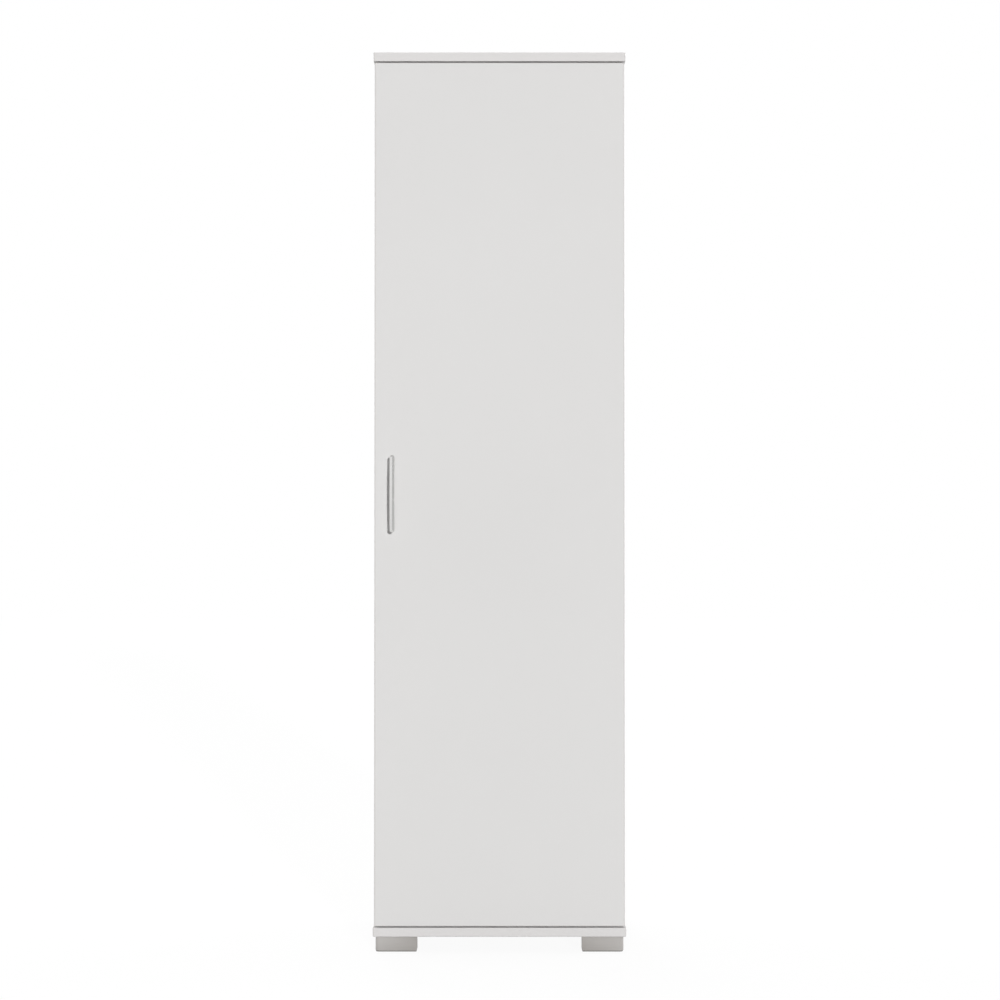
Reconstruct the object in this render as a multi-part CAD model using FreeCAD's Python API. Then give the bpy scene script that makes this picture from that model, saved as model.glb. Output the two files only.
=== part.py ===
import FreeCAD, Part
import math
import os
from FreeCAD import Vector

# Broom cupboard with one tall door, in millimetres. +Z is up, the front faces -Y,
# the door hangs on the right, and the origin is on the floor under the middle.

# Carcass boards
cupboard_width = 500.0
cupboard_height = 1780.0
carcass_depth = 350.0
board = 16.0
end_board = 18.0
end_overhang = 2.0
edge_round = 1.5
hardboard = 3.0
stand_height = 30.0
shelf_drop = 320.0
shelf_setback = 20.0

# Door
door_thickness = 16.0
door_reveal = 0.5
door_top_gap = 2.5
door_bottom_gap = 2.5
swing_clearance = 0.6
bumper_radius = 4.0
bumper_clearance = 0.3
bumper_end_distance = 70.0

# Handle, a slightly bowed bar with round ends and a foot behind each
handle_length = 153.0
handle_width = 9.5
handle_projection = 28.0
handle_camber = 3.0
handle_thickness = 8.5
handle_foot = 24.0
handle_gap_round = 12.0
handle_round = 3.5
handle_inset = 36.0
handle_height = 903.5
handle_screw_spacing = 128.0
handle_screw_radius = 2.0
handle_screw_head_radius = 4.0
handle_screw_head = 2.4
handle_screw_depth = 6.0

# Corner feet and glide pads
foot_length = 82.0
foot_width = 30.0
foot_inset = 5.0
foot_corner = 8.0
foot_wall = 3.0
foot_top = 4.0
foot_screw_end = 15.0
glide_thickness = 2.0
glide_inset = 1.0

# Cam fittings and dowels
fitting_inset = 50.0
cam_radius = 7.5
cam_reach = 34.0
cam_below_bolt = 4.5
cam_recess = 2.5
cam_recess_width = 1.6
cam_recess_length = 8.0
bolt_thread_radius = 2.5
bolt_radius = 3.0
bolt_neck_radius = 1.6
bolt_neck = 5.0
bolt_head = 5.0
bolt_clearance = 0.5
thread_cover = 5.0
dowel_radius = 4.0
dowel_step = 32.0
dowel_end_depth = 18.0
dowel_cover = 4.0

# Back nails and the strip between the two back boards
nail_radius = 0.75
nail_length = 20.0
nail_head_radius = 2.2
nail_head = 0.6
side_nail_count = 8
side_nail_end = 40.0
cross_nail_spacing = 150.0
strip_web = 1.5
strip_flange = 8.0
strip_sheet = 1.0

# Wood screws of feet, hinges and wall bracket
screw_radius = 1.75
screw_head_radius = 3.5
screw_head = 2.0
screw_cover = 4.0

# Wall bracket under the top panel
bracket_width = 40.0
bracket_sheet = 2.0
bracket_drop = 32.0
bracket_reach = 30.0
bracket_screw_spacing = 24.0
bracket_screw_inset = 18.0
wall_hole_radius = 3.0
wall_hole_drop = 20.0

# Concealed hinges: cup and pin in the door
hinge_count = 4
hinge_end_distance = 100.0
cup_edge = 3.0
cup_radius = 17.5
cup_depth = 12.0
cup_wall = 0.8
cup_flange_radius = 18.5
cup_flange = 1.0
cup_wing_offset = 9.5
cup_wing_radius = 6.0
cup_screw_spacing = 45.0
lug_gap = 0.4
lug_margin = 2.6
pin_radius = 1.2
pin_half_length = 8.6
pin_clearance = 0.04

# Concealed hinges: arm and mounting plate on the side panel
eye_radius = 2.0
eye_clearance = 0.4
neck_sheet = 1.8
neck_half_width = 4.0
neck_clearance = 3.2
neck_floor_clearance = 0.5
neck_bend = 4.0
neck_exit = 5.0
channel_clear = 12.0
channel_wall = 1.2
channel_side_gap = 0.4
channel_lift = 3.0
channel_front_reach = 28.0
plate_setback = 37.0
plate_half_length = 22.0
plate_half_width = 6.0
plate_base = 4.0
plate_wing = 2.0
plate_wing_radius = 6.0
plate_screw_spacing = 32.0
pillar_offset = 11.0
pillar_half_length = 7.0
pillar_half_width = 4.5
arm_screw_radius = 2.0
arm_screw_head_radius = 3.6
arm_screw_head = 2.0
arm_screw_depth = 6.0
adjuster_offset = 14.0
adjuster_stand = 0.6

# Hinge axis, inside the cup and as near the door's edge as the cup wall allows
cup_inner_radius = cup_radius - cup_wall
cup_centre_inset = cup_edge + cup_radius
cup_mouth_edge = cup_centre_inset - math.sqrt(cup_inner_radius ** 2 - neck_half_width ** 2)
pivot_inset = cup_mouth_edge + eye_clearance + eye_radius
pivot_depth = cup_depth - cup_wall - eye_clearance - eye_radius

# Gap behind the door, as wide as the turning door edge and cup flange need
flange_inset = cup_centre_inset - cup_flange_radius
door_rise = math.hypot(pivot_inset, pivot_depth) - pivot_depth
flange_rise = math.hypot(pivot_inset - flange_inset, pivot_depth + cup_flange) - pivot_depth
door_gap = max(door_rise, flange_rise) + swing_clearance

# Planes across the width
half_width = cupboard_width / 2
side_outer_x = half_width - end_overhang
side_inner_x = side_outer_x - board
side_middle_x = side_outer_x - board / 2
door_half_width = side_outer_x - door_reveal

# Planes along the depth, with the handle and the strip behind the back counted in
overall_depth = handle_projection + carcass_depth + strip_sheet
front_y = handle_projection - overall_depth / 2
back_y = front_y + carcass_depth
boards_back_y = back_y - hardboard
boards_middle_y = (front_y + boards_back_y) / 2
door_back_y = front_y + door_thickness
side_front_y = door_back_y + door_gap
shelf_front_y = side_front_y + shelf_setback

# Planes along the height
floor_z = stand_height + end_board
ceiling_z = cupboard_height - end_board
shelf_top_z = ceiling_z - shelf_drop
shelf_z = shelf_top_z - board
door_bottom_z = floor_z + door_bottom_gap
door_top_z = ceiling_z - door_top_gap
back_joint_z = (stand_height + cupboard_height) / 2

# Rows of fittings along the depth of the side panels
cam_rows = (side_front_y + fitting_inset, boards_back_y - fitting_inset)
dowel_rows = (cam_rows[0] + dowel_step, cam_rows[1] - dowel_step)
shelf_rows = (shelf_front_y + fitting_inset, boards_back_y - fitting_inset)

# Places along the hinge arm, from the door's edge and behind the door's back
side_inset = board - door_reveal
plate_row = door_gap + plate_setback
web_inset = side_inset + channel_clear
neck_inset = pivot_inset + pivot_depth + cup_flange + neck_clearance + neck_sheet / 2
neck_floor = cup_depth - cup_wall - neck_floor_clearance - neck_sheet / 2

handle_x = -door_half_width + handle_inset
screw_depth = board - screw_cover
up = Vector(0, 0, 1)
rearward = Vector(0, 1, 0)
rightward = Vector(1, 0, 0)


def block(x0, x1, y0, y1, z0, z1):
    return Part.makeBox(x1 - x0, y1 - y0, z1 - z0, Vector(x0, y0, z0))


def rod(radius, start, end):
    return Part.makeCylinder(radius, (end - start).Length, start, end - start)


def joined(shapes):
    return shapes[0].multiFuse(shapes[1:]).removeSplitter()


def across_and_back(shape):
    """The front left piece and its mirror images at the other three corners."""
    right = shape.mirror(Vector(0, 0, 0), rightward)
    middle = Vector(0, boards_middle_y, 0)
    rear = [piece.mirror(middle, rearward) for piece in (shape, right)]
    return [shape, right] + rear


# Wood screw from the underside of its head, pointing along its thread

def screw(seat, along, length, radius=screw_radius, head_radius=screw_head_radius, head=screw_head):
    shank = rod(radius, seat, seat + along * length)
    return joined([shank, rod(head_radius, seat - along * head, seat)])


# Cam fittings: the seat is on the face that the bolt is screwed into

def corner_fittings(side, upward):
    face_z = floor_z if upward > 0 else ceiling_z
    inward = rightward * side
    return [(Vector(side * side_middle_x, y, face_z), up * upward, inward) for y in cam_rows]


def shelf_fittings(side):
    middle_z = shelf_z + board / 2
    along = rightward * -side
    return [(Vector(side * side_inner_x, y, middle_z), along, up) for y in shelf_rows]


def all_fittings():
    corners = [fit for side in (-1, 1) for upward in (-1, 1) for fit in corner_fittings(side, upward)]
    return corners + shelf_fittings(-1) + shelf_fittings(1)


def bolt_hole(seat, along, inward):
    return rod(bolt_radius + bolt_clearance, seat, seat + along * cam_reach)


def thread_hole(seat, along, inward):
    return rod(bolt_thread_radius, seat - along * (board - thread_cover), seat)


def cam_pocket(seat, along, inward):
    axis = seat + along * cam_reach
    return rod(cam_radius, axis - inward * (board / 2), axis + inward * cam_below_bolt)


def cam_lock(seat, along, inward):
    axis = seat + along * cam_reach
    face = axis - inward * (board / 2)
    cavity_end = axis + along * (bolt_radius + bolt_clearance)
    cavity = rod(bolt_radius + bolt_clearance, seat, cavity_end)
    across = along.cross(inward)
    slots = []
    for line, other in ((along, across), (across, along)):
        corner = face - line * (cam_recess_length / 2) - other * (cam_recess_width / 2)
        points = [corner, corner + line * cam_recess_length]
        points += [points[1] + other * cam_recess_width, corner + other * cam_recess_width, corner]
        slots.append(Part.Face(Part.makePolygon(points)).extrude(inward * cam_recess))
    return cam_pocket(seat, along, inward).cut([cavity] + slots)


def cam_bolt(seat, along, inward):
    head_end = cam_reach + bolt_radius
    head_start = head_end - bolt_head
    shank_end = head_start - bolt_neck
    return joined([
        thread_hole(seat, along, inward),
        rod(bolt_radius, seat, seat + along * shank_end),
        rod(bolt_neck_radius, seat + along * shank_end, seat + along * head_start),
        rod(bolt_radius, seat + along * head_start, seat + along * head_end),
    ])


def dowels(side, upward):
    face_z = floor_z if upward > 0 else ceiling_z
    rods = []
    for y in dowel_rows:
        seat = Vector(side * side_middle_x, y, face_z)
        lower = seat - up * upward * (board - dowel_cover)
        rods.append(rod(dowel_radius, lower, seat + up * upward * dowel_end_depth))
    return rods


def all_dowels():
    return [dowel for side in (-1, 1) for upward in (-1, 1) for dowel in dowels(side, upward)]


# Back nails

def nail_places():
    span = ceiling_z - floor_z - 2 * side_nail_end
    places = []
    for index in range(side_nail_count):
        z = floor_z + side_nail_end + span * index / (side_nail_count - 1)
        places += [(-side_middle_x, z), (side_middle_x, z)]
    for z in (floor_z - end_board / 2, shelf_z + board / 2, ceiling_z + end_board / 2):
        places += [(step * cross_nail_spacing, z) for step in (-1, 0, 1)]
    return places


def nails():
    return [
        screw(Vector(x, back_y, z), -rearward, nail_length, nail_radius, nail_head_radius, nail_head)
        for x, z in nail_places()
    ]


def nail_holes():
    tips = -rearward * nail_length
    starts = [Vector(x, back_y, z) for x, z in nail_places()]
    return [rod(nail_radius, start, start + tips) for start in starts]


# Carcass boards

def plate_screw_seats(z):
    x = side_inner_x - plate_wing
    y = side_front_y + plate_setback
    return [Vector(x, y, z + end * plate_screw_spacing / 2) for end in (-1, 1)]


def plate_screws(z):
    return [screw(seat, rightward, plate_wing + screw_depth) for seat in plate_screw_seats(z)]


def side_panel(side):
    edges = sorted((side * side_inner_x, side * side_outer_x))
    panel = block(edges[0], edges[1], side_front_y, boards_back_y, floor_z, ceiling_z)
    cuts = nail_holes()
    for upward in (-1, 1):
        cuts += dowels(side, upward)
        for fit in corner_fittings(side, upward):
            cuts += [bolt_hole(*fit), cam_pocket(*fit)]
    cuts += [thread_hole(*fit) for fit in shelf_fittings(side)]
    if side > 0:
        cuts += [hole for z in hinge_heights() for hole in plate_screws(z)]
    return panel.cut(cuts)


def end_panel(z, upward, extra_cuts):
    panel = block(-half_width, half_width, front_y, boards_back_y, z, z + end_board)
    open_edges = [edge for edge in panel.Edges if edge.BoundBox.YMin < boards_back_y - edge_round]
    panel = panel.makeFillet(edge_round, open_edges)
    cuts = nail_holes() + extra_cuts
    for side in (-1, 1):
        cuts += dowels(side, upward)
        cuts += [thread_hole(*fit) for fit in corner_fittings(side, upward)]
    return panel.cut(cuts)


def hat_shelf():
    panel = block(-side_inner_x, side_inner_x, shelf_front_y, boards_back_y, shelf_z, shelf_top_z)
    front = [edge for edge in panel.Edges if edge.BoundBox.YMax < shelf_front_y + edge_round]
    panel = panel.makeFillet(edge_round, [edge for edge in front if edge.BoundBox.XLength > board])
    cuts = nail_holes()
    for fit in shelf_fittings(-1) + shelf_fittings(1):
        cuts += [bolt_hole(*fit), cam_pocket(*fit)]
    return panel.cut(cuts)


def back_panel(z0, z1):
    panel = block(-side_outer_x, side_outer_x, boards_back_y, back_y, z0, z1)
    return panel.cut(nail_holes() + [wall_hole()])


def back_joint_strip():
    web = (back_joint_z - strip_web / 2, back_joint_z + strip_web / 2)
    lips = (web[0] - strip_flange, web[1] + strip_flange)
    return joined([
        block(-side_inner_x, side_inner_x, boards_back_y, back_y, *web),
        block(-side_inner_x, side_inner_x, boards_back_y - strip_sheet, boards_back_y, *lips),
        block(-side_inner_x, side_inner_x, back_y, back_y + strip_sheet, *lips),
    ])


# Wall bracket

def wall_hole():
    z = ceiling_z - wall_hole_drop
    return rod(wall_hole_radius, Vector(0, boards_back_y - bracket_sheet, z), Vector(0, back_y, z))


def bracket_screws():
    y = boards_back_y - bracket_screw_inset
    z = ceiling_z - bracket_sheet
    seats = [Vector(end * bracket_screw_spacing / 2, y, z) for end in (-1, 1)]
    return [screw(seat, up, bracket_sheet + screw_depth) for seat in seats]


def wall_bracket():
    x = bracket_width / 2
    bracket = joined([
        block(-x, x, boards_back_y - bracket_reach, boards_back_y, ceiling_z - bracket_sheet, ceiling_z),
        block(-x, x, boards_back_y - bracket_sheet, boards_back_y, ceiling_z - bracket_drop, ceiling_z),
    ])
    return bracket.cut(bracket_screws() + [wall_hole()])


# Corner feet

def corner_prism(inset, z0, z1):
    """L-shaped prism at the front left corner, drawn in from the foot's outline by the inset."""
    x0 = -half_width + foot_inset + inset
    y0 = front_y + foot_inset + inset
    reach = foot_length - 2 * inset
    depth = foot_width - 2 * inset
    prism = joined([
        block(x0, x0 + reach, y0, y0 + depth, z0, z1),
        block(x0, x0 + depth, y0, y0 + reach, z0, z1),
    ])
    outer = [edge for edge in prism.Edges if is_upright_at(edge, x0, y0)]
    return prism.makeFillet(foot_corner - inset, outer)


def is_upright_at(edge, x, y):
    places = [vertex.Point for vertex in edge.Vertexes]
    return all(math.hypot(place.x - x, place.y - y) < 0.001 for place in places)


def foot_screws():
    x0 = -half_width + foot_inset
    y0 = front_y + foot_inset
    near = foot_width / 2
    far = foot_length - foot_screw_end
    z = stand_height - foot_top
    seats = [Vector(x0 + far, y0 + near, z), Vector(x0 + near, y0 + far, z)]
    return [screw(seat, up, foot_top + screw_depth) for seat in seats]


def foot():
    hollow = corner_prism(foot_wall, glide_thickness, stand_height - foot_top)
    return corner_prism(0, glide_thickness, stand_height).cut([hollow] + foot_screws())


# Door, handle and bumpers

def hinge_heights():
    first = door_bottom_z + hinge_end_distance
    last = door_top_z - hinge_end_distance
    return [first + (last - first) * index / (hinge_count - 1) for index in range(hinge_count)]


def handle_screws():
    length = door_thickness + handle_screw_depth
    return [
        screw(Vector(handle_x, door_back_y, handle_height + end * handle_screw_spacing / 2), -rearward,
              length, handle_screw_radius, handle_screw_head_radius, handle_screw_head)
        for end in (-1, 1)
    ]


def cup_screws(z):
    x = door_half_width - cup_centre_inset - cup_wing_offset
    seats = [Vector(x, door_back_y + cup_flange, z + end * cup_screw_spacing / 2) for end in (-1, 1)]
    length = cup_flange + door_thickness - screw_cover
    return [screw(seat, -rearward, length) for seat in seats]


def cup_outside(z):
    centre = Vector(door_half_width - cup_centre_inset, door_back_y, z)
    return rod(cup_radius, centre - rearward * cup_depth, centre)


def door_panel():
    panel = block(-door_half_width, door_half_width, front_y, door_back_y, door_bottom_z, door_top_z)
    panel = panel.makeFillet(edge_round, panel.Edges)
    cuts = handle_screws()
    for z in hinge_heights():
        cuts += [cup_outside(z)] + cup_screws(z)
    return panel.cut(cuts)


def bow():
    """Centre and radius of the bar's front line, and the angle from its middle to a round end."""
    half_bar = (handle_length - handle_width) / 2
    radius = (half_bar ** 2 + handle_camber ** 2) / (2 * handle_camber)
    centre = Vector(handle_x, front_y - handle_projection + radius, handle_height)
    return centre, radius, math.degrees(math.asin(half_bar / radius))


def finger_gap():
    centre, radius, turn = bow()
    inner = radius - handle_thickness
    half_gap = handle_length / 2 - handle_foot
    beside = Vector(handle_x - handle_width, centre.y, handle_height)
    corner_y = -math.sqrt(inner ** 2 - half_gap ** 2)
    low, high = [beside + rearward * corner_y + up * (end * half_gap) for end in (-1, 1)]
    behind = rearward * (front_y + handle_thickness - low.y)
    line = Part.Arc(low, beside - rearward * inner, high).toShape()
    legs = Part.makePolygon([high, high + behind, low + behind, low])
    gap = Part.Face(Part.Wire([line] + legs.Edges)).extrude(rightward * (handle_width * 2))
    corners = [edge for edge in gap.Edges if abs(edge.CenterOfMass.y - low.y) < 0.01]
    return gap.makeFillet(handle_gap_round, corners)


def handle():
    centre, radius, turn = bow()
    side = rightward * (handle_width / 2)
    front = centre - rearward * radius
    shoulder = front + rearward * handle_round
    back = front + rearward * (handle_projection + handle_camber)
    crown = Part.Arc(shoulder - side, front, shoulder + side).toShape()
    body = Part.makePolygon([shoulder + side, back + side, back - side, shoulder - side])
    section = Part.Face(Part.Wire([crown] + body.Edges))
    right_half = section.common(block(front.x, front.x + handle_width, front.y, back.y, -1, cupboard_height))
    start = section.rotated(centre, rightward, -turn)
    pieces = [start.revolve(centre, rightward, 2 * turn)]
    for end in (-1, 1):
        outward = FreeCAD.Rotation(rightward, -end * turn).multVec(-rearward)
        half = right_half.Faces[0].rotated(centre, rightward, -end * turn)
        pieces.append(half.revolve(centre, outward * end, 180))
    behind_front = block(handle_x - handle_width, handle_x + handle_width, front_y, back.y + handle_width,
                         handle_height - handle_length, handle_height + handle_length)
    return joined(pieces).cut([behind_front, finger_gap()] + handle_screws())


def door_bumpers():
    z_places = (door_bottom_z + bumper_end_distance, door_top_z - bumper_end_distance)
    front = door_back_y + bumper_clearance
    return [
        rod(bumper_radius, Vector(-side_middle_x, front, z), Vector(-side_middle_x, side_front_y, z))
        for z in z_places
    ]


# Hinges

def hinge_point(inset, behind, z):
    """A place by its distance in from the door's hinge edge and behind the door's back."""
    return Vector(door_half_width - inset, door_back_y + behind, z)


def hinge_block(inset0, inset1, behind0, behind1, z, half_height):
    near = hinge_point(inset1, behind0, z - half_height)
    far = hinge_point(inset0, behind1, z + half_height)
    return block(near.x, far.x, near.y, far.y, near.z, far.z)


def pivot_rod(radius, z, half_length):
    centre = hinge_point(pivot_inset, -pivot_depth, z)
    return rod(radius, centre - up * half_length, centre + up * half_length)


def rounded_bar(centre, radius, half_spacing, thickness, along):
    """Upright flat bar with round ends, standing on the centre's plane."""
    ends = [centre + up * (end * half_spacing) for end in (-1, 1)]
    rods = [rod(radius, end, end + along * thickness) for end in ends]
    across = along.cross(up)
    corner = ends[0] - across * radius
    points = [corner, corner + across * 2 * radius]
    points += [points[1] + up * 2 * half_spacing, corner + up * 2 * half_spacing, corner]
    middle = Part.Face(Part.makePolygon(points)).extrude(along * thickness)
    return joined(rods + [middle])


def hinge_cup(z):
    centre = hinge_point(cup_centre_inset, 0, z)
    wing_centre = hinge_point(cup_centre_inset + cup_wing_offset, 0, z)
    flange = rod(cup_flange_radius, centre, centre + rearward * cup_flange)
    wings = rounded_bar(wing_centre, cup_wing_radius, cup_screw_spacing / 2, cup_flange, rearward)
    mouth = rod(cup_inner_radius, centre - rearward * (cup_depth - cup_wall), centre + rearward * cup_flange)
    shell = joined([cup_outside(z), flange, wings]).cut([mouth] + cup_screws(z))
    lug_plan = (cup_edge, pivot_inset + lug_margin, -cup_depth, lug_margin - pivot_depth)
    slot = hinge_block(*lug_plan, z, neck_half_width + lug_gap)
    lugs = hinge_block(*lug_plan, z, pin_half_length).cut(slot).common(cup_outside(z))
    return joined([shell] + lugs.Solids).cut(pivot_rod(pin_radius, z, pin_half_length))


def neck_strip(start, end, z):
    """Flat strip between two places on the arm, with round ends."""
    near = hinge_point(start[0], start[1], z - neck_half_width)
    far = hinge_point(end[0], end[1], z - neck_half_width)
    across = (far - near).normalize().cross(up) * (neck_sheet / 2)
    points = [near - across, far - across, far + across, near + across, near - across]
    height = up * (2 * neck_half_width)
    strip = Part.Face(Part.makePolygon(points)).extrude(height)
    return [strip] + [rod(neck_sheet / 2, place, place + height) for place in (near, far)]


def arm_screw_seat(z):
    return hinge_point(web_inset + neck_sheet / 2, plate_row + pillar_offset, z)


def arm_screws(z):
    fixing = screw(arm_screw_seat(z), rightward, neck_sheet + arm_screw_depth,
                   arm_screw_radius, arm_screw_head_radius, arm_screw_head)
    tip = hinge_point(side_inset + plate_base, plate_row - adjuster_offset, z)
    top = hinge_point(web_inset + neck_sheet / 2 + adjuster_stand, plate_row - adjuster_offset, z)
    return [fixing, rod(arm_screw_radius, top, tip)]


def hinge_arm(z):
    web_front = plate_row - channel_front_reach
    rear = plate_row + plate_half_length
    path = [
        (pivot_inset, -pivot_depth),
        (neck_inset - neck_bend, -neck_floor),
        (neck_inset, neck_bend - neck_floor),
        (neck_inset, neck_exit),
        (web_inset, web_front),
    ]
    pieces = [pivot_rod(eye_radius, z, neck_half_width)]
    for start, end in zip(path, path[1:]):
        pieces += neck_strip(start, end, z)
    inner_half = plate_half_width + channel_side_gap
    outer_half = inner_half + channel_wall
    web_top = web_inset + neck_sheet / 2
    pieces.append(hinge_block(web_inset - neck_sheet / 2, web_top, web_front, rear, z, outer_half))
    wall_foot = side_inset + channel_lift
    walls = hinge_block(wall_foot, web_top, web_front, rear, z, outer_half)
    hollow = hinge_block(wall_foot, web_top, web_front, rear, z, inner_half)
    pieces += walls.cut(hollow).Solids
    bore = pivot_rod(pin_radius + pin_clearance, z, neck_half_width)
    return joined(pieces).cut([bore] + arm_screws(z))


def hinge_plate(z):
    wing_centre = hinge_point(side_inset, plate_row, z)
    under_web = web_inset - neck_sheet / 2
    pillar_row = plate_row + pillar_offset
    plate = joined([
        rounded_bar(wing_centre, plate_wing_radius, plate_screw_spacing / 2, plate_wing, -rightward),
        hinge_block(side_inset, side_inset + plate_base, plate_row - plate_half_length,
                    plate_row + plate_half_length, z, plate_half_width),
        hinge_block(side_inset, under_web, pillar_row - pillar_half_length, pillar_row + pillar_half_length,
                    z, pillar_half_width),
    ])
    return plate.cut(plate_screws(z) + arm_screws(z))


def build():
    corners = ("front_left", "front_right", "rear_left", "rear_right")
    all_foot_screws = [piece for single in foot_screws() for piece in across_and_back(single)]
    fits = all_fittings()
    nodes = {
        "left_side_panel": side_panel(-1),
        "right_side_panel": side_panel(1),
        "top_panel": end_panel(ceiling_z, -1, bracket_screws()),
        "bottom_panel": end_panel(stand_height, 1, all_foot_screws),
        "hat_shelf": hat_shelf(),
        "back_panel_lower": back_panel(stand_height, back_joint_z - strip_web / 2),
        "back_panel_upper": back_panel(back_joint_z + strip_web / 2, cupboard_height),
        "back_joint_strip": back_joint_strip(),
        "back_panel_nails": Part.makeCompound(nails()),
        "cam_locks": Part.makeCompound([cam_lock(*fit) for fit in fits]),
        "cam_bolts": Part.makeCompound([cam_bolt(*fit) for fit in fits]),
        "wood_dowels": Part.makeCompound(all_dowels()),
        "foot_screws": Part.makeCompound(all_foot_screws),
        "wall_bracket": wall_bracket(),
        "wall_bracket_screws": Part.makeCompound(bracket_screws()),
        "door_bumpers": Part.makeCompound(door_bumpers()),
        "door_panel": door_panel(),
        "handle": handle(),
        "handle_screws": Part.makeCompound(handle_screws()),
    }
    for corner, shape in zip(corners, across_and_back(foot())):
        nodes["foot_" + corner] = shape
    for corner, shape in zip(corners, across_and_back(corner_prism(glide_inset, 0, glide_thickness))):
        nodes["glide_" + corner] = shape
    heights = hinge_heights()
    for number, z in enumerate(heights, 1):
        nodes[f"hinge_plate_{number}"] = hinge_plate(z)
        nodes[f"hinge_arm_{number}"] = hinge_arm(z)
        nodes[f"hinge_cup_{number}"] = hinge_cup(z)
        nodes[f"hinge_pin_{number}"] = pivot_rod(pin_radius, z, pin_half_length)
    nodes["hinge_plate_screws"] = Part.makeCompound([piece for z in heights for piece in plate_screws(z)])
    nodes["hinge_arm_screws"] = Part.makeCompound([piece for z in heights for piece in arm_screws(z)])
    nodes["hinge_cup_screws"] = Part.makeCompound([piece for z in heights for piece in cup_screws(z)])
    return nodes


os.makedirs("parts", exist_ok=True)
for name, shape in build().items():
    shape.exportStep(f"parts/{name}.step")
    print(f"{name}: {len(shape.Solids)} solids, {shape.Volume / 1000:.2f} cm3")
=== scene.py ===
import bmesh
import bpy
import math
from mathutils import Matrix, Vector


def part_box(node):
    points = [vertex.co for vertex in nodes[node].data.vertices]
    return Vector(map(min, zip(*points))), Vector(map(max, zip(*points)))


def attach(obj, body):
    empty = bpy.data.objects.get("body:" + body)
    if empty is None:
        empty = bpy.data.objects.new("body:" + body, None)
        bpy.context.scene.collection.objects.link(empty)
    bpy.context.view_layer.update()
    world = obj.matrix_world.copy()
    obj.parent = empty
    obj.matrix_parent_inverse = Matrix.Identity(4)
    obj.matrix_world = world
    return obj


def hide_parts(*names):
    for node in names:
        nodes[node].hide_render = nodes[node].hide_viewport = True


# Broom cupboard with one tall door, in metres. +Z is up and the front faces -Y.
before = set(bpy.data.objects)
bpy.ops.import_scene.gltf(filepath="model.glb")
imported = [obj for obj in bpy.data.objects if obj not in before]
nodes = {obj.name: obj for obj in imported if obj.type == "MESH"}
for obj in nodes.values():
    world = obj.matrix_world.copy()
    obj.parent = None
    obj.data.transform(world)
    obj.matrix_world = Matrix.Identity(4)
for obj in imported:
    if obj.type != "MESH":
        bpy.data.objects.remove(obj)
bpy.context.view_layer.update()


# Carcass boards
# Two sides and hat shelf of 16 mm chipboard, top and bottom of 18 mm, with white melamine paper
# pressed on both faces. They are sawn to size and their open edges closed with glued edging.

class Wire:
    """A socket among a finish's nodes. Sums and comparisons of wires add Math nodes."""

    def __init__(self, tree, socket=None):
        self.tree = tree
        self.socket = socket

    def node(self, kind, settings=(), inputs=(), output=0):
        """Add a node, set it up, wire or fill its inputs, and give one of its outputs."""
        made = self.tree.nodes.new("ShaderNode" + kind)
        for name, value in dict(settings).items():
            setattr(made, name, value)
        for name, value in dict(inputs).items():
            if isinstance(value, Wire):
                self.tree.links.new(value.socket, made.inputs[name])
            else:
                made.inputs[name].default_value = value
        return Wire(self.tree, made.outputs[output] if made.outputs else None)

    def output(self, name):
        """Another output of the same node."""
        return Wire(self.tree, self.socket.node.outputs[name])

    def math(self, operation, *values):
        """Add a Math node that works on these values."""
        return self.node("Math", {"operation": operation}, enumerate(values))

    def __add__(self, other):
        return self.math("ADD", self, other)

    def __sub__(self, other):
        return self.math("SUBTRACT", self, other)

    def __rsub__(self, other):
        return self.math("SUBTRACT", other, self)

    def __mul__(self, other):
        return self.math("MULTIPLY", self, other)

    def __lt__(self, other):
        return self.math("LESS_THAN", self, other)

    def __gt__(self, other):
        return self.math("GREATER_THAN", self, other)

    def __abs__(self):
        return self.math("ABSOLUTE", self)

    __radd__ = __add__
    __rmul__ = __mul__


def shade(red, green, blue):
    """Colour given in the 0 to 255 steps of a picture, as Blender's linear values."""
    steps = [step / 255 for step in (red, green, blue)]
    return tuple(s / 12.92 if s < 0.04045 else ((s + 0.055) / 1.055) ** 2.4 for s in steps) + (1.0,)


def new_finish(name):
    """A material with no nodes yet, and the wire that its nodes start from."""
    material = bpy.data.materials.new(name)
    material.use_nodes = True
    material.node_tree.nodes.clear()
    return material, Wire(material.node_tree)


def surface(finish, **inputs):
    """Close a finish with one Principled surface. Underscores stand for spaces in socket names."""
    sockets = {name.replace("_", " "): value for name, value in inputs.items()}
    coat = finish.node("BsdfPrincipled", inputs=sockets)
    finish.node("OutputMaterial", inputs={"Surface": coat})


def mixed(finish, share, first, second):
    """A colour between two, with this share of the second."""
    return finish.node("Mix", {"data_type": "RGBA"}, {0: share, 6: first, 7: second}, 2)


def noise(finish, spot, scale, detail=2.0):
    """Soft random pattern, finer with a larger scale."""
    return finish.node("TexNoise", inputs={"Vector": spot, "Scale": scale, "Detail": detail})


def relief(finish, height, strength, distance):
    """Normals of a surface that rises and falls with a height."""
    bumps = {"Strength": strength, "Distance": distance, "Height": height}
    return finish.node("Bump", inputs=bumps)


edging_thickness = 0.002
glue_line = 0.0003


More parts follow.
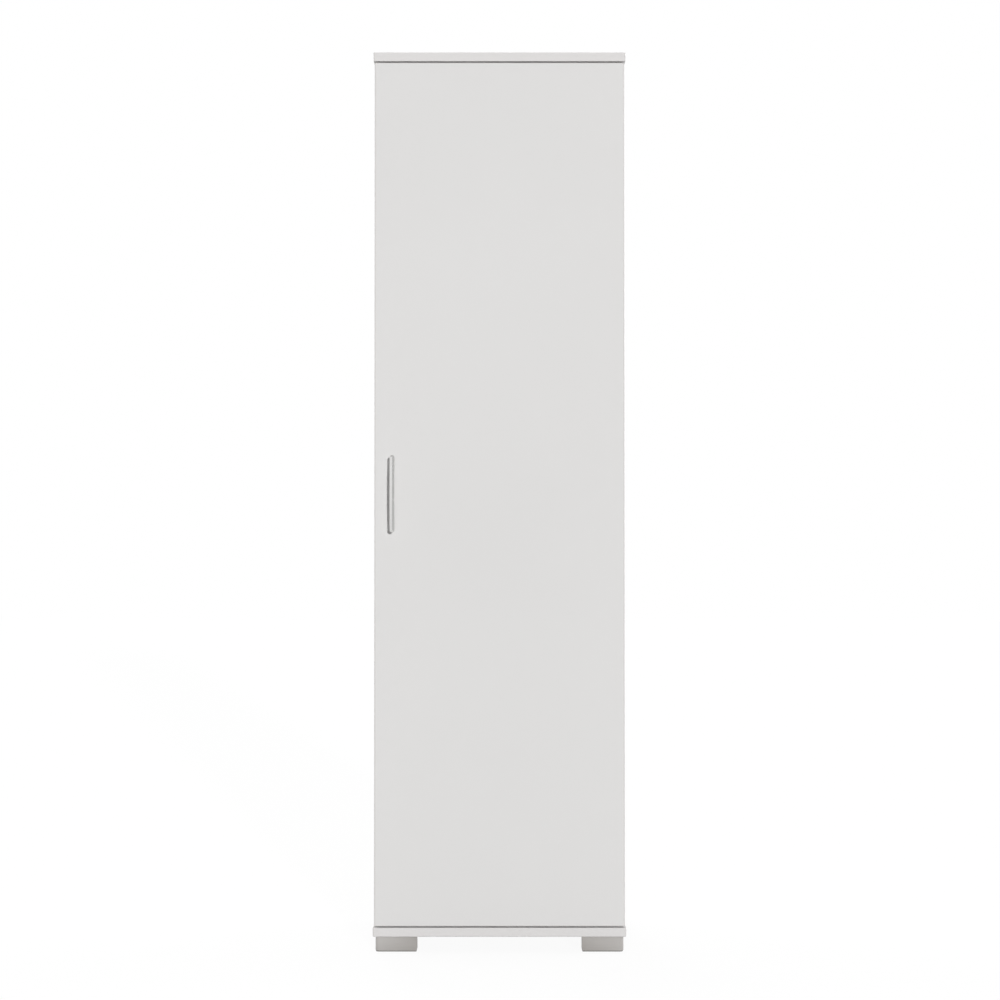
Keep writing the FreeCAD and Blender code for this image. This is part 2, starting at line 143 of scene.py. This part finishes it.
def white_melamine(name, node, edged):
    """White board finish with a fine pearl. Its edged sides, such as +X, carry smoother edging."""
    material, finish = new_finish(name)
    low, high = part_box(node)
    spot = finish.node("TexCoord", output="Object")
    along = finish.node("SeparateXYZ", inputs={0: spot})
    edging = seam = 0.0
    for direction, letter in edged:
        axis = "XYZ".index(letter)
        place = along.output(letter)
        if direction == "+":
            joint = high[axis] - edging_thickness
            strip = place > joint
        else:
            joint = low[axis] + edging_thickness
            strip = place < joint
        edging = finish.math("MAXIMUM", edging, strip)
        seam = finish.math("MAXIMUM", seam, abs(place - joint) < glue_line / 2)
    cloud = noise(finish, spot, scale=1.7)
    pearl = noise(finish, spot, scale=850.0)
    paper = mixed(finish, cloud, shade(218, 217, 216), shade(224, 223, 222))
    banded = mixed(finish, edging, paper, shade(220, 218, 217))
    glued = mixed(finish, seam, banded, shade(186, 183, 178))
    gloss = 0.36 + 0.08 * cloud + 0.06 * pearl - 0.1 * edging
    grain = relief(finish, pearl, strength=0.12, distance=0.0002)
    surface(finish, Base_Color=glued, Roughness=gloss, Normal=grain)
    return material


def dress(material, *names):
    """Give CAD nodes a finish."""
    for name in names:
        for place in nodes[name].material_slots:
            place.material = material


dress(white_melamine("left_side_melamine", "left_side_panel", ["-Y"]), "left_side_panel")
dress(white_melamine("right_side_melamine", "right_side_panel", ["-Y"]), "right_side_panel")
dress(white_melamine("bottom_melamine", "bottom_panel", ["-X", "+X", "-Y"]), "bottom_panel")
dress(white_melamine("top_melamine", "top_panel", ["-X", "+X", "-Y"]), "top_panel")
dress(white_melamine("shelf_melamine", "hat_shelf", ["-Y"]), "hat_shelf")


# Knock-down fittings
# Cam bolts of zinc-plated steel stand in one board and hook into round cams of die-cast zinc in
# the other. Fluted beech dowels glued between them keep the boards in line.

def stretched(finish, spot, x, y, z):
    """Object coordinates pulled so that a pattern has its own pitch along each axis."""
    return finish.node("VectorMath", {"operation": "MULTIPLY"}, {0: spot, 1: (x, y, z)})


def plated_steel(name, bright, dull, gloss):
    """Plated steel with faint clouds and fine scuffs in its gloss."""
    material, finish = new_finish(name)
    spot = finish.node("TexCoord", output="Object")
    cloud = noise(finish, spot, scale=60.0, detail=3.0)
    scuff = noise(finish, stretched(finish, spot, 900.0, 900.0, 140.0), scale=1.0)
    surface(finish, Base_Color=mixed(finish, cloud, dull, bright), Metallic=1.0,
            Roughness=gloss + 0.1 * cloud + 0.12 * scuff,
            Normal=relief(finish, scuff, strength=0.05, distance=0.00005))
    return material


def cast_zinc(name):
    """Die-cast zinc, matt and finely pitted."""
    material, finish = new_finish(name)
    spot = finish.node("TexCoord", output="Object")
    pitting = noise(finish, spot, scale=1400.0, detail=3.0)
    surface(finish, Base_Color=mixed(finish, pitting, shade(138, 139, 141), shade(176, 177, 178)),
            Metallic=1.0, Roughness=0.42 + 0.2 * pitting,
            Normal=relief(finish, pitting, strength=0.25, distance=0.00008))
    return material


def beech(name):
    """Turned beech with its short dark flecks along the dowel."""
    material, finish = new_finish(name)
    spot = finish.node("TexCoord", output="Object")
    fleck = noise(finish, stretched(finish, spot, 1500.0, 1500.0, 160.0), scale=1.0, detail=3.0)
    surface(finish, Base_Color=mixed(finish, fleck, shade(190, 150, 108), shade(224, 192, 150)),
            Roughness=0.55 + 0.2 * fleck,
            Normal=relief(finish, fleck, strength=0.3, distance=0.0001))
    return material


zinc_plating = plated_steel("zinc_plating", bright=shade(214, 214, 212), dull=shade(186, 186, 183),
                            gloss=0.26)
dress(zinc_plating, "cam_bolts")
dress(cast_zinc("cam_zinc"), "cam_locks")
dress(beech("dowel_beech"), "wood_dowels")


# Back
# Two sheets of 3 mm hardboard nailed behind the boards, lacquered white inside and raw brown
# outside, where the press screen has left its mesh. A white plastic strip joins the two sheets.

lacquer_skin = 0.0002
screen_pitch = 0.0024


def hardboard(name, node):
    """Hardboard, lacquered on its inner face and marked by the press screen on its outer one."""
    material, finish = new_finish(name)
    spot = finish.node("TexCoord", output="Object")
    along = finish.node("SeparateXYZ", inputs={0: spot})
    lacquered = along.output("Y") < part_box(node)[0].y + lacquer_skin
    turns = 2 * math.pi / screen_pitch
    wires_across = finish.math("SINE", along.output("X") * turns)
    wires_up = finish.math("SINE", along.output("Z") * turns)
    fibre = noise(finish, stretched(finish, spot, 420.0, 420.0, 120.0), scale=1.0, detail=4.0)
    cloud = noise(finish, spot, scale=5.0, detail=3.0)
    pulp = mixed(finish, fibre, shade(118, 84, 56), shade(158, 122, 86))
    stained = mixed(finish, 0.35 * cloud, pulp, shade(102, 72, 48))
    white = mixed(finish, cloud, shade(216, 215, 212), shade(223, 222, 220))
    weave = wires_across * wires_up * (1 - lacquered) + 0.4 * fibre
    surface(finish, Base_Color=mixed(finish, lacquered, stained, white),
            Roughness=0.78 - 0.3 * lacquered + 0.1 * fibre,
            Normal=relief(finish, weave, strength=0.35, distance=0.0002))
    return material


def moulded_plastic(name, pale, deep, gloss, grain):
    """Moulded plastic with a fine spark-eroded grain."""
    material, finish = new_finish(name)
    spot = finish.node("TexCoord", output="Object")
    cloud = noise(finish, spot, scale=9.0)
    skin = noise(finish, spot, scale=grain)
    surface(finish, Base_Color=mixed(finish, cloud, deep, pale), Roughness=gloss + 0.12 * skin,
            Normal=relief(finish, skin, strength=0.15, distance=0.0001))
    return material


strip_plastic = moulded_plastic("strip_plastic", pale=shade(228, 227, 223),
                                deep=shade(219, 218, 213), gloss=0.32, grain=900.0)
dress(hardboard("lower_hardboard", "back_panel_lower"), "back_panel_lower")
dress(hardboard("upper_hardboard", "back_panel_upper"), "back_panel_upper")
dress(strip_plastic, "back_joint_strip")
dress(zinc_plating, "back_panel_nails")


# Wall bracket
# Bent strip of galvanised steel under the top panel that a wall screw goes through, so that the
# tall cupboard can't tip. Two pan-head screws hold it to the panel.

def galvanised_steel(name):
    """Hot-dipped steel with the frost-like spangle of its zinc."""
    material, finish = new_finish(name)
    spot = finish.node("TexCoord", output="Object")
    spangle = finish.node("TexVoronoi", inputs={"Vector": spot, "Scale": 320.0}, output="Color")
    flake = finish.node("SeparateColor", inputs={0: spangle})
    surface(finish, Base_Color=mixed(finish, flake, shade(158, 161, 164), shade(196, 198, 200)),
            Metallic=1.0, Roughness=0.3 + 0.18 * flake)
    return material


# Places within a hair of each other count as the same. A face looks along an axis when more than
# the facing share of its normal does.
hair = 0.00001
facing = 0.9
smooth_below = math.radians(35)


def pick(kind, test):
    """Select the faces, edges or verts of the mesh in edit mode that pass a test."""
    mesh = bpy.context.edit_object.data
    bpy.ops.mesh.select_mode(type={"faces": "FACE", "edges": "EDGE", "verts": "VERT"}[kind])
    bpy.ops.mesh.select_all(action="DESELECT")
    for part in filter(test, getattr(bmesh.from_edit_mesh(mesh), kind)):
        part.select_set(True)
    bmesh.update_edit_mesh(mesh)


def begin(name):
    """Name the primitive just added, put its place into its mesh, and open it for editing."""
    piece = bpy.context.object
    piece.name = piece.data.name = name
    bpy.ops.object.transform_apply(location=True, rotation=True, scale=True)
    bpy.ops.object.mode_set(mode="EDIT")
    bpy.ops.mesh.select_all(action="SELECT")
    return piece


def cut_out(piece, tool):
    """Take a tool's shape out of a piece and throw the tool away."""
    bpy.ops.object.mode_set(mode="OBJECT")
    bpy.ops.object.select_all(action="DESELECT")
    piece.select_set(True)
    bpy.context.view_layer.objects.active = piece
    cut = piece.modifiers.new("cut", "BOOLEAN")
    cut.operation = "DIFFERENCE"
    cut.solver = "EXACT"
    cut.object = tool
    bpy.ops.object.modifier_apply(modifier=cut.name)
    bpy.data.objects.remove(tool)


def cross_screw(name, head_radius, head, shank_radius, length):
    """Pan-head screw with a cross recess, pointing up from the seat of its head at the origin."""
    point = 0.2 * length
    tip_share = 0.15
    head_rounding = 0.6 * head
    wing_width = 0.28 * head_radius
    wing_reach = 0.5 * head_radius
    recess = 0.6 * head
    bpy.ops.object.select_all(action="DESELECT")
    bpy.ops.mesh.primitive_cylinder_add(vertices=24, radius=head_radius, depth=head,
                                        location=(0, 0, -head / 2))
    piece = begin(name)
    pick("faces", lambda face: face.normal.z > facing)
    bpy.ops.mesh.inset(thickness=head_radius - shank_radius)
    bpy.ops.mesh.extrude_region_move(TRANSFORM_OT_translate={"value": (0, 0, length - point)})
    bpy.ops.mesh.extrude_region_move(TRANSFORM_OT_translate={"value": (0, 0, point)})
    bpy.ops.transform.resize(value=(tip_share, tip_share, 1.0))
    pick("edges", lambda edge: all(vert.co.z < hair - head for vert in edge.verts))
    bpy.ops.mesh.bevel(offset=head_rounding, segments=4)
    bpy.ops.object.mode_set(mode="OBJECT")
    bpy.ops.object.select_all(action="DESELECT")
    bpy.ops.mesh.primitive_cube_add(size=1, location=(0, 0, -head),
                                    scale=(wing_width, wing_width, 2 * recess))
    tool = begin("cross_tool")
    pick("faces", lambda face: abs(face.normal.z) < 1 - facing)
    bpy.ops.mesh.extrude_faces_move(TRANSFORM_OT_shrink_fatten={"value": wing_reach})
    cut_out(piece, tool)
    bpy.ops.object.shade_smooth_by_angle(angle=smooth_below)
    return piece


def driven(name, pattern, seats, along):
    """Screws in one piece: copies of a pattern screw, their heads on the seats, pointing along."""
    turn = Vector((0, 0, 1)).rotation_difference(Vector(along)).to_euler()
    copies = []
    for seat in seats:
        copy = pattern.copy()
        copy.data = pattern.data.copy()
        copy.location = seat
        copy.rotation_euler = turn
        bpy.context.scene.collection.objects.link(copy)
        copies.append(copy)
    bpy.ops.object.select_all(action="DESELECT")
    for copy in copies:
        copy.select_set(True)
    bpy.context.view_layer.objects.active = copies[0]
    bpy.ops.object.join()
    bpy.ops.object.transform_apply(location=True, rotation=True, scale=True)
    copies[0].name = copies[0].data.name = name
    return copies[0]


def fit(piece, material, body, slot, *replaced):
    """Finish a new piece: its material, the body that carries it and the CAD nodes it replaces."""
    piece.data.materials.clear()
    piece.data.materials.append(material)
    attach(piece, body)
    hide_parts(*replaced)


bracket_sheet = 0.002
bracket_screw_inset = 0.018
bracket_screw_spacing = 0.024

dress(galvanised_steel("bracket_zinc"), "wall_bracket")
bracket_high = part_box("wall_bracket")[1]
bracket_seats = [(end * bracket_screw_spacing / 2, bracket_high.y - bracket_screw_inset,
                  bracket_high.z - bracket_sheet) for end in (-1, 1)]
wood_screw = cross_screw("wood_screw", head_radius=0.0035, head=0.002, shank_radius=0.00175,
                         length=0.0139)
fit(driven("bracket_screws", wood_screw, bracket_seats, (0, 0, 1)), zinc_plating,
    "carcass", "plated_steel", "wall_bracket_screws")


# Corner feet and glides
# Hollow L-shaped corner feet moulded in silver-grey plastic with a drawn, metal-like grain, screwed
# up into the bottom panel. Each stands on a thin dark pad that is stuck under its rim.

foot_leg = 0.030
foot_corner = 0.008
foot_wall = 0.003
foot_top = 0.004
foot_edge = 0.0004
pad_inset = 0.001
pad_edge = 0.0003


def corner_block(name, node, leg, corner):
    """L-shaped block as large as a node of the front left corner, rounded at its outer corner."""
    low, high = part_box(node)
    size = high - low
    bpy.ops.object.select_all(action="DESELECT")
    bpy.ops.mesh.primitive_cube_add(
        size=1, scale=(size.x, leg, size.z),
        location=(low.x + size.x / 2, low.y + leg / 2, low.z + size.z / 2))
    piece = begin(name)
    bpy.ops.mesh.bisect(plane_co=(low.x + leg, 0, 0), plane_no=(1, 0, 0))
    pick("faces", lambda face: face.normal.y > facing and face.calc_center_median().x < low.x + leg)
    bpy.ops.mesh.extrude_region_move(TRANSFORM_OT_translate={"value": (0, size.y - leg, 0)})
    pick("edges", lambda edge: all((vert.co.xy - low.xy).length < hair for vert in edge.verts))
    bpy.ops.mesh.bevel(offset=corner, segments=10)
    bpy.ops.mesh.select_all(action="SELECT")
    bpy.ops.mesh.dissolve_limited(angle_limit=math.radians(1))
    return piece


def soften(piece, width, segments):
    """Close a piece: round its sharp edges and shade its curves smoothly."""
    bpy.ops.object.mode_set(mode="OBJECT")
    rounding = piece.modifiers.new("rounding", "BEVEL")
    rounding.width = width
    rounding.segments = segments
    rounding.limit_method = "ANGLE"
    rounding.angle_limit = math.radians(40)
    bpy.ops.object.modifier_apply(modifier=rounding.name)
    bpy.ops.object.shade_smooth_by_angle(angle=smooth_below)


def turned_to(pattern, name, corner, middle_y):
    """Copy of a front left piece, mirrored to another corner of the cupboard."""
    copy = pattern.copy()
    copy.data = pattern.data.copy()
    copy.name = copy.data.name = name
    bpy.context.scene.collection.objects.link(copy)
    if "right" in corner:
        copy.scale.x = -1
    if "rear" in corner:
        copy.scale.y = -1
        copy.location.y = 2 * middle_y
    bpy.ops.object.select_all(action="DESELECT")
    copy.select_set(True)
    bpy.context.view_layer.objects.active = copy
    bpy.ops.object.transform_apply(location=True, rotation=True, scale=True)
    bpy.ops.object.mode_set(mode="EDIT")
    bpy.ops.mesh.select_all(action="SELECT")
    bpy.ops.mesh.normals_make_consistent(inside=False)
    bpy.ops.object.mode_set(mode="OBJECT")
    return copy


def drawn_silver(name):
    """Silver-grey lacquered plastic, fine level lines, painted light at its outer and upper ends.
    """
    painted_light_outwards = 11.0
    painted_light_upwards = 12.0
    painted_light_from = 1.92
    material, finish = new_finish(name)
    spot = finish.node("TexCoord", output="Object")
    lines = noise(finish, stretched(finish, spot, 14.0, 14.0, 1500.0), scale=1.0, detail=3.0)
    cloud = noise(finish, spot, scale=26.0)
    along = finish.node("SeparateXYZ", inputs={0: spot})
    # Painted light: a share that grows towards the outer ends and the top mixes in a lighter tone.
    painted_light_share = painted_light_outwards * abs(along.output("X")) + painted_light_upwards * along.output("Z") - painted_light_from
    tone = mixed(finish, lines, shade(165, 161, 157), shade(183, 179, 175))
    painted_light_tone = mixed(finish, painted_light_share, tone, shade(196, 193, 190))
    clouded = mixed(finish, 0.3 * cloud, painted_light_tone, shade(181, 177, 174))
    surface(finish, Base_Color=clouded, Metallic=0.5, Roughness=0.36 + 0.14 * lines,
            Normal=relief(finish, lines, strength=0.12, distance=0.0001))
    return material


def pad_rubber(name):
    """Dark foam rubber, open-pored and matt."""
    material, finish = new_finish(name)
    spot = finish.node("TexCoord", output="Object")
    pores = noise(finish, spot, scale=2600.0, detail=3.0)
    surface(finish, Base_Color=mixed(finish, pores, shade(112, 110, 107), shade(142, 140, 136)),
            Roughness=0.8 + 0.15 * pores,
            Normal=relief(finish, pores, strength=0.5, distance=0.0002))
    return material


foot_silver = drawn_silver("foot_silver")
glide_rubber = pad_rubber("glide_rubber")
feet_middle_y = (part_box("foot_front_left")[0].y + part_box("foot_rear_left")[1].y) / 2
foot_height = nodes["foot_front_left"].dimensions.z

foot = corner_block("corner_foot_front_left", "foot_front_left", foot_leg, foot_corner)
pick("faces", lambda face: face.normal.z < -facing)
bpy.ops.mesh.inset(thickness=foot_wall)
bpy.ops.mesh.extrude_region_move(TRANSFORM_OT_translate={"value": (0, 0, foot_height - foot_top)})
soften(foot, foot_edge, segments=2)
glide = corner_block("glide_pad_front_left", "glide_front_left", foot_leg - 2 * pad_inset,
                     foot_corner - pad_inset)
soften(glide, pad_edge, segments=2)

# A copy takes along what its pattern replaces, so all copies are made before any piece is fitted.
feet = {"front_left": foot}
pads = {"front_left": glide}
for corner in ("front_right", "rear_left", "rear_right"):
    feet[corner] = turned_to(foot, "corner_foot_" + corner, corner, feet_middle_y)
    pads[corner] = turned_to(glide, "glide_pad_" + corner, corner, feet_middle_y)
for corner in feet:
    fit(feet[corner], foot_silver, "carcass", "silver_plastic", "foot_" + corner)
    fit(pads[corner], glide_rubber, "carcass", "dark_pad", "glide_" + corner)
dress(zinc_plating, "foot_screws")


# Door
# One tall board of white melamine with 2 mm edging rounded over on all four sides. Four blind
# holes are bored into its back for the hinge cups.

dress(white_melamine("door_melamine", "door_panel", ["-X", "+X", "-Z", "+Z"]), "door_panel")


# Handle
# Cast handle: a slightly bowed, crowned bar with round ends and a foot behind each, satin plated
# and polished along its length. Two machine screws come through the door from behind.

handle_length = 0.153
handle_camber = 0.003
handle_round = 0.0035
handle_bar = 0.0088
handle_foot = 0.024
handle_gap_round = 0.012
handle_edge = 0.0008
handle_screw_spacing = 0.128


def satin_plating(name):
    """Satin plated metal with fine polishing lines up the bar."""
    material, finish = new_finish(name)
    spot = finish.node("TexCoord", output="Object")
    lines = noise(finish, stretched(finish, spot, 2600.0, 2600.0, 30.0), scale=1.0, detail=3.0)
    cloud = noise(finish, spot, scale=40.0)
    surface(finish, Base_Color=mixed(finish, lines, shade(218, 217, 215), shade(230, 230, 229)),
            Metallic=1.0, Roughness=0.2 + 0.08 * lines + 0.05 * cloud,
            Normal=relief(finish, lines, strength=0.06, distance=0.00004))
    return material


handle_low, handle_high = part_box("handle")
handle_middle = (handle_low + handle_high) / 2
door_front = handle_high.y
handle_rise = door_front - handle_low.y
handle_side = (handle_high.x - handle_low.x) / 2
crown_radius = (handle_side ** 2 + handle_round ** 2) / (2 * handle_round)
shoulder_y = handle_low.y + handle_round
half_bar = handle_length / 2 - handle_side
bow_radius = (half_bar ** 2 + handle_camber ** 2) / (2 * handle_camber)
bow_turn = math.asin(half_bar / bow_radius)
bow_centre = Vector((handle_middle.x, handle_low.y + bow_radius, handle_middle.z))


def at_bar_end(vert, end):
    """Whether a vert lies in the bar's last section at one end, on its right half."""
    arm = vert.co - bow_centre
    return abs(math.atan2(arm.z, -arm.y) - end * bow_turn) < hair and arm.x > -hair


# The crowned section is spun along the bow, and its right half about each end.
bpy.ops.object.select_all(action="DESELECT")
bpy.ops.mesh.primitive_circle_add(
    vertices=96, radius=crown_radius, fill_type="NOTHING",
    location=(handle_middle.x, handle_low.y + crown_radius, handle_middle.z))
handle = begin("bow_handle")
bpy.ops.mesh.bisect(plane_co=(0, shoulder_y, 0), plane_no=(0, 1, 0), clear_outer=True)
pick("verts", lambda vert: abs(vert.co.y - shoulder_y) < hair)
bpy.ops.mesh.extrude_region_move(TRANSFORM_OT_translate={"value": (0, handle_rise, 0)})
bpy.ops.mesh.select_all(action="SELECT")
bpy.ops.transform.rotate(value=bow_turn, orient_axis="X", center_override=bow_centre)
bpy.ops.mesh.spin(steps=36, angle=-2 * bow_turn, center=bow_centre, axis=(1, 0, 0))
for end in (-1, 1):
    pick("edges", lambda edge: all(at_bar_end(vert, end) for vert in edge.verts))
    bpy.ops.mesh.spin(steps=24, angle=-end * math.pi, center=bow_centre,
                      axis=(0, -math.cos(bow_turn), end * math.sin(bow_turn)))
bpy.ops.mesh.select_all(action="SELECT")
bpy.ops.mesh.remove_doubles(threshold=hair)
bpy.ops.mesh.bisect(plane_co=(0, door_front, 0), plane_no=(0, 1, 0), clear_outer=True,
                    use_fill=True)
bpy.ops.mesh.select_all(action="SELECT")
bpy.ops.mesh.normals_make_consistent(inside=False)
bpy.ops.object.mode_set(mode="OBJECT")

# The finger gap is cut with a block whose front corners are round.
bpy.ops.object.select_all(action="DESELECT")
bpy.ops.mesh.primitive_cube_add(
    size=1, location=(handle_middle.x, door_front, handle_middle.z),
    scale=(handle_side * 4, 2 * (handle_rise - handle_bar), handle_length - 2 * handle_foot))
finger_tool = begin("finger_tool")
pick("edges", lambda edge: all(vert.co.y < door_front for vert in edge.verts)
     and abs(edge.verts[0].co.z - edge.verts[1].co.z) < hair)
bpy.ops.mesh.bevel(offset=handle_gap_round, segments=10)
cut_out(handle, finger_tool)
soften(handle, handle_edge, segments=3)
fit(handle, satin_plating("handle_satin"), "door", "satin_metal", "handle")

door_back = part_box("door_panel")[1].y
handle_seats = [(handle_middle.x, door_back, handle_middle.z + end * handle_screw_spacing / 2)
                for end in (-1, 1)]
handle_screw = cross_screw("handle_screw", head_radius=0.004, head=0.0024, shank_radius=0.002,
                           length=0.0219)
fit(driven("handle_fixing_screws", handle_screw, handle_seats, (0, -1, 0)), zinc_plating,
    "door", "plated_steel", "handle_screws")
bpy.data.objects.remove(handle_screw)


# Hinges
# Four concealed hinges pressed from nickel-plated steel sheet: a cup sunk in the door, a cranked
# arm in whose eye the cup's pin turns, and a plate on the side panel. Cross-head screws hold them.

cup_screw_inset = 0.009
cup_screw_spacing = 0.045
cup_flange = 0.001
plate_wing = 0.002
plate_screw_spacing = 0.032
arm_screw_offset = 0.011
adjuster_offset = 0.014
adjuster_head = 0.002
adjuster_stand = 0.0006

hinge_nickel = plated_steel("hinge_nickel", bright=shade(226, 222, 214), dull=shade(206, 202, 193),
                            gloss=0.2)
cup_seats, plate_seats, arm_seats, adjuster_seats = [], [], [], []
for number in range(1, 5):
    dress(hinge_nickel, *[f"hinge_{piece}_{number}" for piece in ("cup", "pin", "arm", "plate")])
    cup_low, cup_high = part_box(f"hinge_cup_{number}")
    plate_low, plate_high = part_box(f"hinge_plate_{number}")
    arm_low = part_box(f"hinge_arm_{number}")[0]
    hinge_z = (cup_low.z + cup_high.z) / 2
    plate_y = (plate_low.y + plate_high.y) / 2
    for end in (-1, 1):
        cup_seats.append((cup_low.x + cup_screw_inset, door_back + cup_flange,
                          hinge_z + end * cup_screw_spacing / 2))
        plate_seats.append((plate_high.x - plate_wing, plate_y,
                            hinge_z + end * plate_screw_spacing / 2))
    arm_seats.append((arm_low.x, plate_y + arm_screw_offset, hinge_z))
    adjuster_seats.append((arm_low.x - adjuster_stand + adjuster_head, plate_y - adjuster_offset,
                           hinge_z))
fit(driven("cup_fixing_screws", wood_screw, cup_seats, (0, -1, 0)), zinc_plating,
    "door", "plated_steel", "hinge_cup_screws")
fit(driven("plate_fixing_screws", wood_screw, plate_seats, (1, 0, 0)), zinc_plating,
    "carcass", "plated_steel", "hinge_plate_screws")
bpy.data.objects.remove(wood_screw)
arm_screw = cross_screw("arm_screw", head_radius=0.0036, head=0.002, shank_radius=0.002,
                        length=0.0078)
fit(driven("arm_fixing_screws", arm_screw, arm_seats, (1, 0, 0)), zinc_plating,
    "carcass", "plated_steel", "hinge_arm_screws")
bpy.data.objects.remove(arm_screw)
adjuster = cross_screw("adjuster", head_radius=0.002, head=adjuster_head, shank_radius=0.0018,
                       length=0.0075)
fit(driven("arm_adjusters", adjuster, adjuster_seats, (1, 0, 0)), zinc_plating,
    "carcass", "plated_steel", "hinge_arm_screws")
bpy.data.objects.remove(adjuster)


# Bumpers
# Two small domes of clear soft plastic, stuck on the left side panel's front edge, that the door
# closes against.

def clear_plastic(name):
    """Clear soft plastic, faintly clouded."""
    material, finish = new_finish(name)
    spot = finish.node("TexCoord", output="Object")
    cloud = noise(finish, spot, scale=400.0)
    surface(finish, Base_Color=mixed(finish, cloud, shade(224, 224, 220), shade(240, 240, 238)),
            Roughness=0.14 + 0.12 * cloud, Transmission_Weight=0.6, IOR=1.46)
    return material


bumper_low, bumper_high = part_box("door_bumpers")
bumper_radius = (bumper_high.x - bumper_low.x) / 2
bumper_height = bumper_high.y - bumper_low.y
bumper_rounding = 0.75 * bumper_height
bpy.ops.object.select_all(action="DESELECT")
bpy.ops.mesh.primitive_cylinder_add(vertices=32, radius=bumper_radius, depth=bumper_height,
                                    location=(0, 0, bumper_height / 2))
dome = begin("dome")
pick("edges", lambda edge: all(vert.co.z > bumper_height - hair for vert in edge.verts))
bpy.ops.mesh.bevel(offset=bumper_rounding, segments=6)
bpy.ops.object.mode_set(mode="OBJECT")
bpy.ops.object.shade_smooth_by_angle(angle=smooth_below)
bumper_seats = [(bumper_low.x + bumper_radius, bumper_high.y, z)
                for z in (bumper_low.z + bumper_radius, bumper_high.z - bumper_radius)]
fit(driven("bumper_domes", dome, bumper_seats, (0, -1, 0)), clear_plastic("bumper_plastic"),
    "carcass", "clear_bumper", "door_bumpers")
bpy.data.objects.remove(dome)


# Floor, light and camera
# Pale studio floor in a white room, a key light from the front right, four soft ones at the sides,
# back and top, grey flags that only metal mirrors, and a camera square to the door at half height.

floor_size = 30.0
floor_white = 0.94
floor_mirrored = 0.85
floor_paint = (0.95, 0.95, 0.95, 1.0)
floor_bounce = (0.3, 0.3, 0.3, 1.0)
room_light = 0.26
room_white = 1.0
plain_white = (1.0, 1.0, 1.0, 1.0)
flag_grey = (0.6, 0.6, 0.6, 1.0)
camera_place = (0.001, -4.1605, 0.829)
camera_tilt = 90.893
camera_lens = 72.8
camera_sensor = 36.0

scene = bpy.context.scene
scene.view_settings.view_transform = "Standard"

bpy.ops.object.select_all(action="DESELECT")
bpy.ops.mesh.primitive_plane_add(size=floor_size)
floor = bpy.context.object
floor.name = "studio_floor"
floor_material, floor_finish = new_finish("pale_floor")
path = floor_finish.node("LightPath", output="Is Camera Ray")
seen = floor_finish.math("MAXIMUM", path, floor_mirrored * path.output("Is Glossy Ray"))
dull = floor_finish.node("BsdfDiffuse", inputs={"Color": floor_bounce})
pale = floor_finish.node("BsdfDiffuse", inputs={"Color": floor_paint})
matt = floor_finish.node("MixShader", inputs={0: path, 1: dull, 2: pale})
glow = floor_finish.node("Emission", inputs={"Strength": 1.0})
both = floor_finish.node("MixShader", inputs={0: floor_white * seen, 1: matt, 2: glow})
floor_finish.node("OutputMaterial", inputs={"Surface": both})
floor.data.materials.append(floor_material)

scene.world = bpy.data.worlds.new("white_room")
scene.world.use_nodes = True
scene.world.node_tree.nodes.clear()
room = Wire(scene.world.node_tree)
path = room.node("LightPath", output="Is Camera Ray")
seen = room.math("MAXIMUM", path, path.output("Is Glossy Ray"))
seen = room.math("MAXIMUM", seen, path.output("Is Transmission Ray"))
dim = room.node("Background", inputs={"Color": plain_white, "Strength": room_light})
white = room.node("Background", inputs={"Color": plain_white, "Strength": room_white})
walls = room.node("MixShader", inputs={0: seen, 1: dim, 2: white})
room.node("OutputWorld", inputs={"Surface": walls})


def shine(name, towards, strength, softness):
    """Sun lamp that stands in a direction from the cupboard. Metal doesn't mirror it."""
    turn = Vector(towards).to_track_quat("Z", "Y").to_euler()
    bpy.ops.object.light_add(type="SUN", rotation=turn)
    sun = bpy.context.object
    sun.name = name
    sun.data.energy = strength
    sun.data.angle = math.radians(softness)
    sun.visible_glossy = False


shine("key_sun", (0.264, -1.0, 0.18), strength=2.36, softness=3.0)
shine("left_sun", (-1.0, 0.6, 0.25), strength=1.35, softness=25.0)
shine("right_sun", (1.0, 0.5, 0.25), strength=1.3, softness=30.0)
shine("rear_sun", (-0.2, 1.0, 0.4), strength=1.3, softness=30.0)
shine("top_sun", (0.0, 0.15, 1.0), strength=1.2, softness=30.0)


def hang_flag(name, place, turn, width, height):
    """Grey cloth that shows only in mirroring metal."""
    bpy.ops.object.select_all(action="DESELECT")
    bpy.ops.mesh.primitive_plane_add(size=1, location=place, rotation=turn)
    flag = bpy.context.object
    flag.name = name
    flag.scale = (width, height, 1.0)
    flag.visible_camera = False
    flag.visible_diffuse = False
    flag.visible_transmission = False
    flag.visible_shadow = False
    material, finish = new_finish(name + "_cloth")
    cloth = finish.node("Emission", inputs={"Color": flag_grey})
    finish.node("OutputMaterial", inputs={"Surface": cloth})
    flag.data.materials.append(material)


hang_flag("right_flag", place=(1.29, -0.31, 1.1), turn=(math.pi / 2, 0.0, math.radians(67.7)),
          width=5.8, height=2.4)
hang_flag("top_flag", place=(-2.0, -0.7, 2.6), turn=(0.0, 0.0, 0.0), width=8.0, height=4.6)

bpy.ops.object.camera_add(location=camera_place, rotation=(math.radians(camera_tilt), 0.0, 0.0))
scene.camera = bpy.context.object
scene.camera.data.sensor_width = camera_sensor
scene.camera.data.lens = camera_lens
